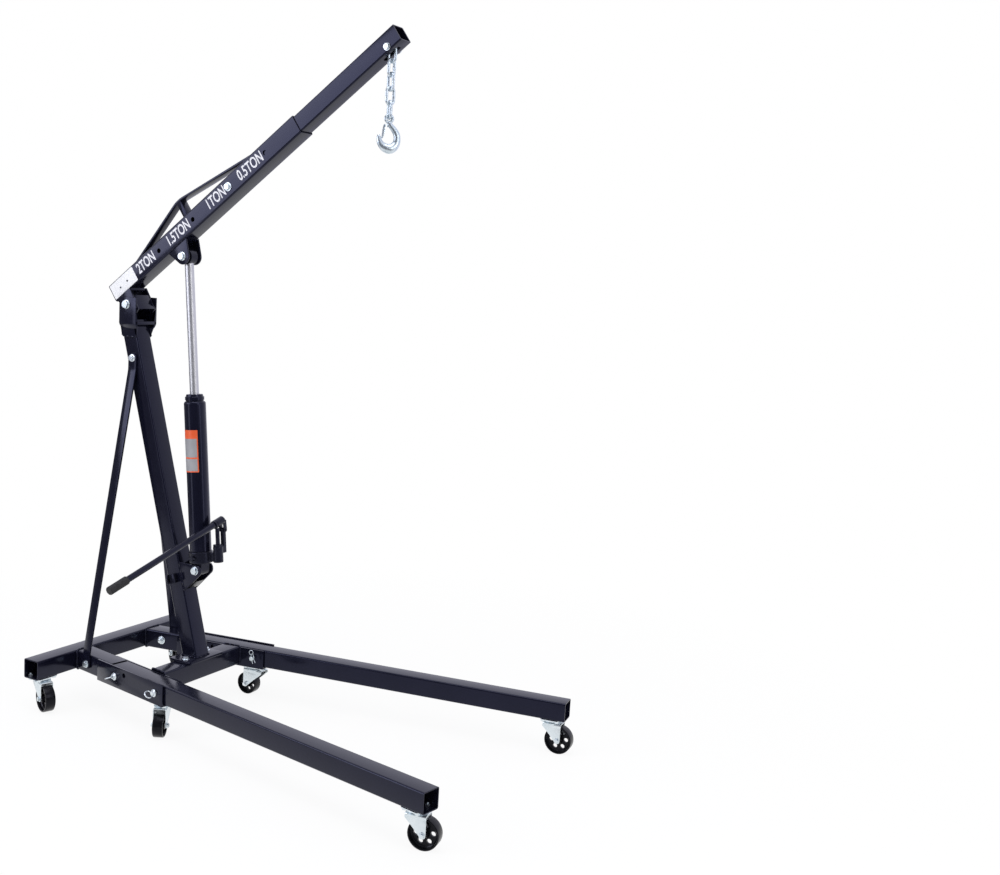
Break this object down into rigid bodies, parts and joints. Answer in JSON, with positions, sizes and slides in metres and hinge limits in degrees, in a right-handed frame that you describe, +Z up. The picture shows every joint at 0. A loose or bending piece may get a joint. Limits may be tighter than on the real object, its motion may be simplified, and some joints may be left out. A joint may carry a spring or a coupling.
{
  "type": "engine hoist crane",
  "caption": "Shop crane with splayed legs on swivel casters, a braced leaning mast, and a long ram that lifts a telescopic boom with a chain and hook.",
  "frame": {"origin": "on the floor under the middle of the bounding box", "axes": "+X along the legs towards the hook, +Y to the hoist's left, away from the pump handle, +Z up"},
  "size_m": [1.6716, 0.9284, 2.2413],
  "materials": {
    "black_paint": "gloss black paint with a blue cast",
    "zinc_plate": "bright zinc plate",
    "chain_zinc": "zinc-plated chain and forged hook",
    "chrome": "polished",
    "wheel_iron": "black satin casting",
    "grip_rubber": "matt black"
  },
  "bodies": {
    "frame": {"rear_beam": "black_paint", "cross_beam": "black_paint", "mast_base_plate": "black_paint", "mast_post": "black_paint", "mast_head": "black_paint", "boom_pivot_bolt": "zinc_plate", "ram_mast_bracket": "black_paint", "ram_foot_pin": "zinc_plate", "right_stub": "black_paint", "right_channel": "black_paint", "right_leg": "black_paint", "right_brace": "black_paint", "right_rear_ring_pin": "zinc_plate", "right_front_ring_pin": "zinc_plate", "right_rear_caster_plate": "zinc_plate", "right_middle_caster_plate": "zinc_plate", "right_front_caster_plate": "zinc_plate", "left_stub": "black_paint", "left_channel": "black_paint", "left_leg": "black_paint", "left_brace": "black_paint", "left_rear_ring_pin": "zinc_plate", "left_front_ring_pin": "zinc_plate", "left_rear_caster_plate": "zinc_plate", "left_middle_caster_plate": "zinc_plate", "left_front_caster_plate": "zinc_plate"},
    "boom": {"boom_tube": "black_paint", "boom_hinge_bracket": "black_paint", "boom_truss": "black_paint", "boom_ram_bracket": "black_paint", "ram_head_pin": "zinc_plate"},
    "extension": {"boom_extension": "black_paint", "chain_bolt": "zinc_plate"},
    "ram": {"ram_base": "black_paint", "ram_cylinder": "black_paint"},
    "rod": {"ram_rod": "chrome"},
    "valve": {"release_valve": "zinc_plate"},
    "plunger": {"pump_plunger": "chrome"},
    "lever": {"pump_lever": "black_paint", "pump_handle": "black_paint", "handle_grip": "grip_rubber"},
    "link_1": {"chain_link_1": "chain_zinc"},
    "link_2": {"chain_link_2": "chain_zinc"},
    "link_3": {"chain_link_3": "chain_zinc"},
    "link_4": {"chain_link_4": "chain_zinc"},
    "link_5": {"chain_link_5": "chain_zinc"},
    "hook": {"hook": "chain_zinc"},
    "latch": {"hook_latch": "chain_zinc"},
    "right_rear_fork": {"right_rear_caster_fork": "zinc_plate"},
    "right_rear_wheel": {"right_rear_caster_wheel": "wheel_iron"},
    "right_middle_fork": {"right_middle_caster_fork": "zinc_plate"},
    "right_middle_wheel": {"right_middle_caster_wheel": "wheel_iron"},
    "right_front_fork": {"right_front_caster_fork": "zinc_plate"},
    "right_front_wheel": {"right_front_caster_wheel": "wheel_iron"},
    "left_rear_fork": {"left_rear_caster_fork": "zinc_plate"},
    "left_rear_wheel": {"left_rear_caster_wheel": "wheel_iron"},
    "left_middle_fork": {"left_middle_caster_fork": "zinc_plate"},
    "left_middle_wheel": {"left_middle_caster_wheel": "wheel_iron"},
    "left_front_fork": {"left_front_caster_fork": "zinc_plate"},
    "left_front_wheel": {"left_front_caster_wheel": "wheel_iron"}
  },
  "joints": [
    {"name": "boom_lift", "type": "hinge", "parent": "frame", "child": "boom", "pos_m": [-0.70887, 0.01232, 1.36297], "axis": [0, -1, 0], "range_deg": [-36.6, 8]},
    {"name": "boom_reach", "type": "slide", "parent": "boom", "child": "extension", "axis": [0.8024, 0, 0.5968], "range_m": [-0.352, 0.18]},
    {"name": "ram_tilt", "type": "hinge", "parent": "frame", "child": "ram", "pos_m": [-0.38889, 0.01232, 0.492], "axis": [0, -1, 0], "range_deg": [-4, 1.5]},
    {"name": "ram_stroke", "type": "slide", "parent": "ram", "child": "rod", "axis": [-0.0877, 0, 0.9961], "range_m": [-0.19, 0.06]},
    {"name": "pump_stroke", "type": "hinge", "parent": "ram", "child": "lever", "pos_m": [-0.3349, 0.05232, 0.63127], "axis": [-0.9961, 0, -0.0877], "range_deg": [0, 45]},
    {"name": "plunger_stroke", "type": "slide", "parent": "ram", "child": "plunger", "axis": [-0.0877, 0, 0.9961], "range_m": [0, 0.024]},
    {"name": "valve_turn", "type": "hinge", "parent": "ram", "child": "valve", "pos_m": [-0.39275, -0.02768, 0.53583], "axis": [0, -1, 0], "range_deg": [0, 270]},
    {"name": "link_1_swing", "type": "hinge", "parent": "extension", "child": "link_1", "pos_m": [0.28719, 0.01232, 2.17794], "axis": [0, -1, 0], "range_deg": [-8, 45]},
    {"name": "link_2_swing", "type": "hinge", "parent": "link_1", "child": "link_2", "pos_m": [0.28719, 0.01232, 2.13849], "axis": [1, 0, 0], "range_deg": [-40, 40]},
    {"name": "link_3_swing", "type": "hinge", "parent": "link_2", "child": "link_3", "pos_m": [0.28719, 0.01232, 2.09819], "axis": [0.1564, 0.9877, 0], "range_deg": [-40, 40]},
    {"name": "link_4_swing", "type": "hinge", "parent": "link_3", "child": "link_4", "pos_m": [0.28719, 0.01232, 2.05789], "axis": [0.9511, -0.309, 0], "range_deg": [-40, 40]},
    {"name": "link_5_swing", "type": "hinge", "parent": "link_4", "child": "link_5", "pos_m": [0.28719, 0.01232, 2.01759], "axis": [0.454, 0.891, 0], "range_deg": [-40, 40]},
    {"name": "hook_swing", "type": "hinge", "parent": "link_5", "child": "hook", "pos_m": [0.28719, 0.01232, 1.97729], "axis": [0.809, -0.5878, 0], "range_deg": [-35, 35]},
    {"name": "latch_open", "type": "hinge", "parent": "hook", "child": "latch", "pos_m": [0.27906, 0.00419, 1.95524], "axis": [0.7071, -0.7071, 0], "range_deg": [0, 30], "stiffness_Nm_per_rad": 0.03, "springref_deg": -17.19},
    {"name": "right_rear_swivel", "type": "hinge", "parent": "frame", "child": "right_rear_fork", "pos_m": [-0.79389, -0.29818, 0], "axis": [0, 0, 1], "continuous": true},
    {"name": "right_rear_roll", "type": "hinge", "parent": "right_rear_fork", "child": "right_rear_wheel", "pos_m": [-0.7657, -0.30844, 0.046], "axis": [0.342, 0.9397, 0], "continuous": true},
    {"name": "right_middle_swivel", "type": "hinge", "parent": "frame", "child": "right_middle_fork", "pos_m": [-0.3288, -0.21936, 0], "axis": [0, 0, 1], "continuous": true},
    {"name": "right_middle_roll", "type": "hinge", "parent": "right_middle_fork", "child": "right_middle_wheel", "pos_m": [-0.3138, -0.24535, 0.039], "axis": [0.866, 0.5, 0], "continuous": true},
    {"name": "right_front_swivel", "type": "hinge", "parent": "frame", "child": "right_front_fork", "pos_m": [0.75834, -0.39973, 0], "axis": [0, 0, 1], "continuous": true},
    {"name": "right_front_roll", "type": "hinge", "parent": "right_front_fork", "child": "right_front_wheel", "pos_m": [0.78788, -0.39452, 0.046], "axis": [-0.1736, 0.9848, 0], "continuous": true},
    {"name": "left_rear_swivel", "type": "hinge", "parent": "frame", "child": "left_rear_fork", "pos_m": [-0.79389, 0.32282, 0], "axis": [0, 0, 1], "continuous": true},
    {"name": "left_rear_roll", "type": "hinge", "parent": "left_rear_fork", "child": "left_rear_wheel", "pos_m": [-0.76741, 0.30874, 0.046], "axis": [0.4695, 0.8829, 0], "continuous": true},
    {"name": "left_middle_swivel", "type": "hinge", "parent": "frame", "child": "left_middle_fork", "pos_m": [-0.3288, 0.24401, 0], "axis": [0, 0, 1], "continuous": true},
    {"name": "left_middle_roll", "type": "hinge", "parent": "left_middle_fork", "child": "left_middle_wheel", "pos_m": [-0.35878, 0.24296, 0.039], "axis": [0.0349, -0.9994, 0], "continuous": true},
    {"name": "left_front_swivel", "type": "hinge", "parent": "frame", "child": "left_front_fork", "pos_m": [0.75834, 0.42438, 0], "axis": [0, 0, 1], "continuous": true},
    {"name": "left_front_roll", "type": "hinge", "parent": "left_front_fork", "child": "left_front_wheel", "pos_m": [0.78818, 0.42751, 0.046], "axis": [-0.1045, 0.9945, 0], "continuous": true}
  ],
  "couplings": [
    {"joint": "ram_tilt", "follows": "boom_lift", "ratio": 0.0935},
    {"joint": "ram_stroke", "follows": "boom_lift", "m_per_rad": 0.2654},
    {"joint": "plunger_stroke", "follows": "pump_stroke", "m_per_rad": 0.029}
  ]
}
